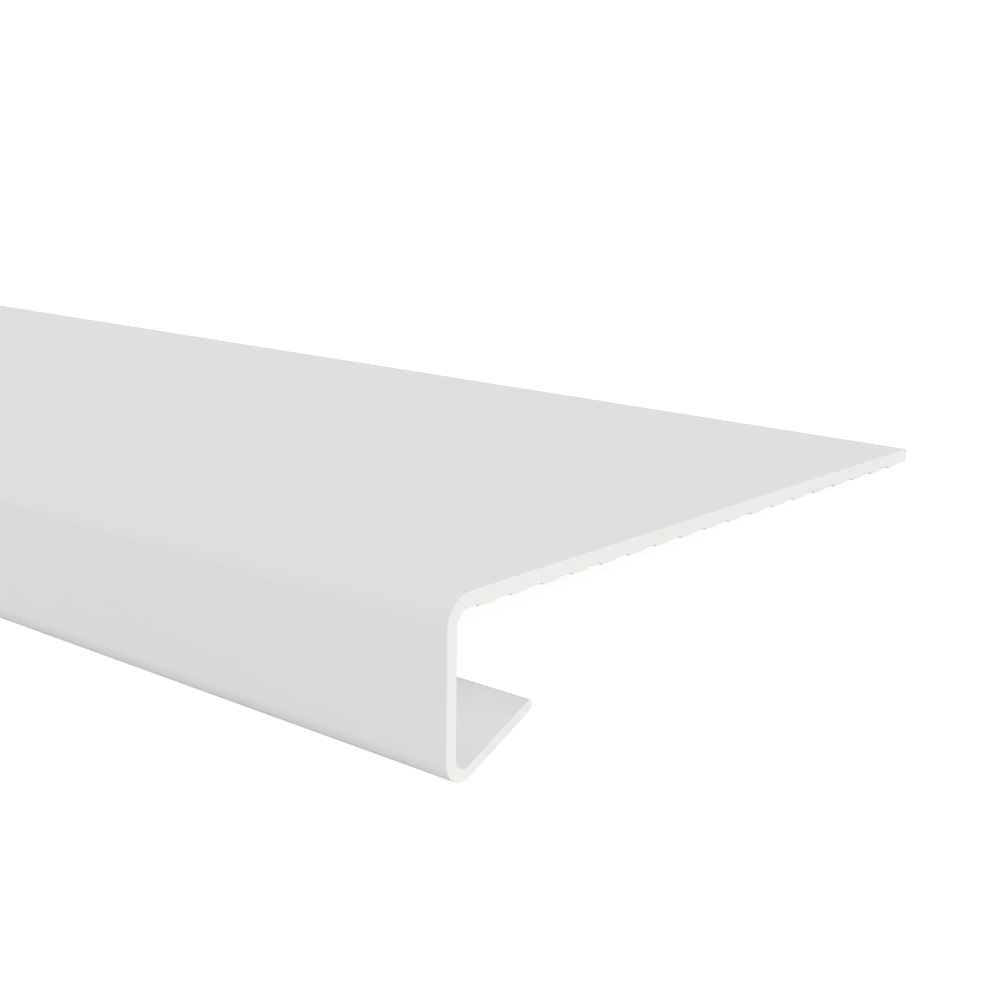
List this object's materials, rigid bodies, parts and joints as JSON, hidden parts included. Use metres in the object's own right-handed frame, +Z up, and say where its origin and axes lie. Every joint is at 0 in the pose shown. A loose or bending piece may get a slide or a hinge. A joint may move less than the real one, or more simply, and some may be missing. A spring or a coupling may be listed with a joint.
{
  "type": "window sill cover",
  "caption": "Extruded white plastic cover that caps an old window sill: flat plate ribbed underneath, turned-down nose with rounded bends, angled return lip, ends cut square.",
  "frame": {"origin": "middle of the footprint on the floor that the cover lies on", "axes": "+X along the length; +Y from the nose to the rear edge; +Z up. The cover lies unheld, on the root of its lip and its lower rear edge, so its plate slopes down to the rear by 11 degrees"},
  "size_m": [1.25, 0.2032, 0.0404],
  "materials": {
    "white_plastic": "smooth satin white, as extruded"
  },
  "bodies": {
    "root": {"sill_cover": "white_plastic"}
  },
  "joints": []
}
